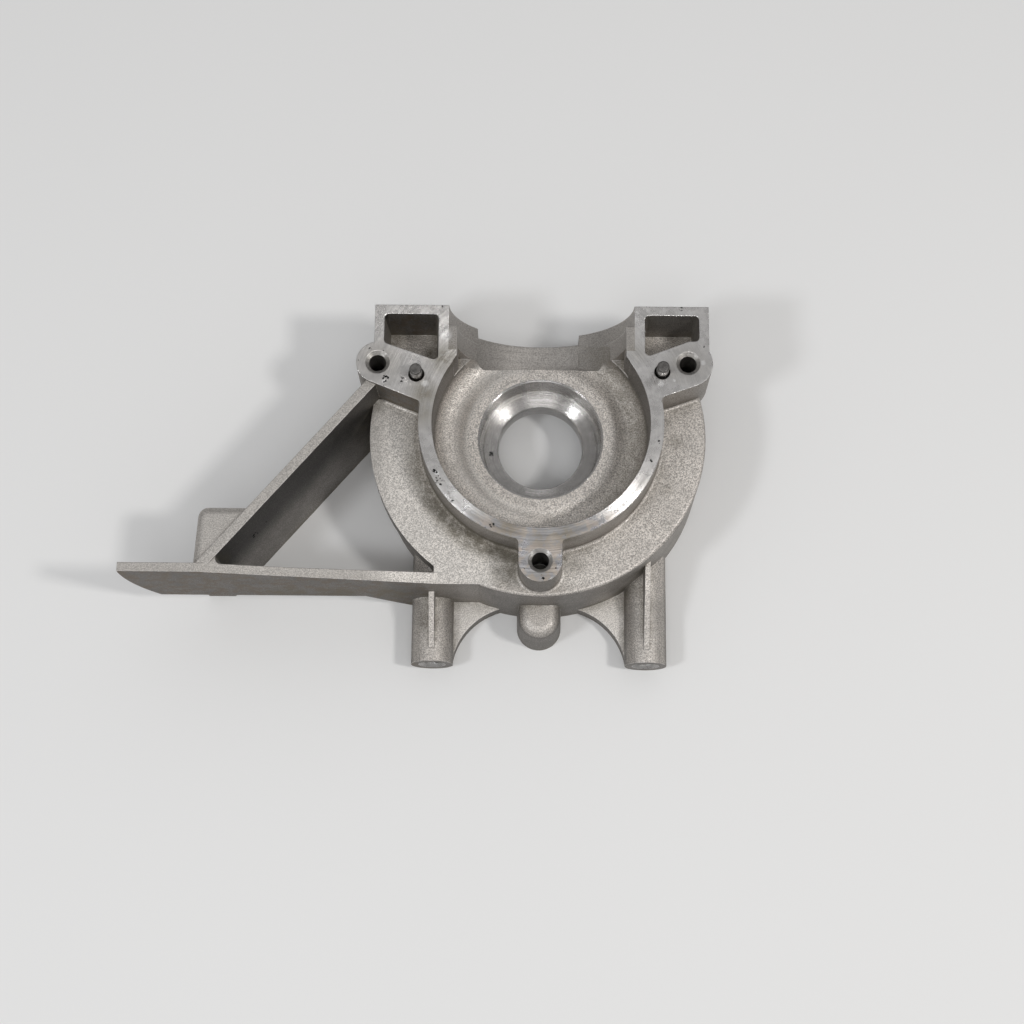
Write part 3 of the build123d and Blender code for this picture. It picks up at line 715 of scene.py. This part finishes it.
def room(look):
    """The room's even light, brighter from above, and a pale backdrop that only the camera sees."""
    world = bpy.data.worlds.new("Room")
    world.use_nodes = True
    world.node_tree.nodes.clear()
    s = Sheet(world.node_tree)
    up = s.axes(s.add("ShaderNodeTexCoord").outputs["Generated"])[2]
    tone = s.mix(s.ramp(up, 0.0, 0.8), (0.45, 0.45, 0.45), (1.0, 1.0, 1.0))
    light = s.add("ShaderNodeBackground", Color=tone, Strength=look.sky)
    backdrop = s.add("ShaderNodeBackground", Color=(*toned(look.table, 0.86), 1), Strength=1.0)
    seen = s.add("ShaderNodeLightPath").outputs["Is Camera Ray"]
    both = s.add("ShaderNodeMixShader", i0=seen, i1=light.outputs[0], i2=backdrop.outputs[0])
    s.add("ShaderNodeOutputWorld", Surface=both.outputs[0])
    return world


def camera():
    """The camera where the photograph was taken from."""
    lens = bpy.data.cameras.new("camera")
    lens.sensor_width = SENSOR
    lens.lens = LENS
    eye = place_in_scene("camera", lens)
    eye.rotation_mode = "ZYX"
    eye.location = EYE_PLACE
    eye.rotation_euler = EYE_TURN
    return eye


class FinishCasting(bpy.types.Operator):
    """Give the casting its sandy skin, cut faces, pits and grime, with painted light and shade"""
    bl_idname = "crankcase.finish_casting"
    bl_label = "Finish the casting"

    def execute(self, context):
        dress(CASTING, casting_material(context.scene.casting_look))
        return {"FINISHED"}


class FinishPins(bpy.types.Operator):
    """Give the two dowel pins their ground steel"""
    bl_idname = "crankcase.finish_pins"
    bl_label = "Finish the dowel pins"

    def execute(self, context):
        mat = pin_material(context.scene.pin_look)
        for name in PINS:
            dress(name, mat)
        return {"FINISHED"}


class SetStage(bpy.types.Operator):
    """Set the table, the lamps, the room's light and the camera"""
    bl_idname = "crankcase.set_stage"
    bl_label = "Set the stage"

    def execute(self, context):
        look = context.scene.stage_look
        lay_table(look)
        for name, place, size, power, colour in LAMPS:
            hang_lamp(name, place, size, getattr(look, power), colour)
        context.scene.world = room(look)
        context.scene.camera = camera()
        context.scene.view_settings.view_transform = "Standard"
        return {"FINISHED"}


class CrankcasePanel(bpy.types.Panel):
    bl_idname = "VIEW3D_PT_crankcase"
    bl_label = "Crankcase half"
    bl_space_type = "VIEW_3D"
    bl_region_type = "UI"
    bl_category = "Crankcase"

    def draw(self, context):
        for (group, kind), step in zip(LOOKS, STEPS):
            box = self.layout.box()
            look = getattr(context.scene, group)
            for name in kind.__annotations__:
                box.prop(look, name)
            box.operator(step.bl_idname)


LOOKS = (("casting_look", CastingLook), ("pin_look", PinLook), ("stage_look", StageLook))
STEPS = (FinishCasting, FinishPins, SetStage)


def register():
    for name, kind in LOOKS:
        bpy.utils.register_class(kind)
        setattr(bpy.types.Scene, name, bpy.props.PointerProperty(type=kind))
    for kind in (*STEPS, CrankcasePanel):
        bpy.utils.register_class(kind)


def unregister():
    for kind in (CrankcasePanel, *reversed(STEPS)):
        bpy.utils.unregister_class(kind)
    for name, kind in LOOKS:
        delattr(bpy.types.Scene, name)
        bpy.utils.unregister_class(kind)


def main():
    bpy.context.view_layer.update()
    register()
    bpy.ops.crankcase.finish_casting()
    bpy.ops.crankcase.finish_pins()
    bpy.ops.crankcase.set_stage()


if __name__ == "__main__":
    main()
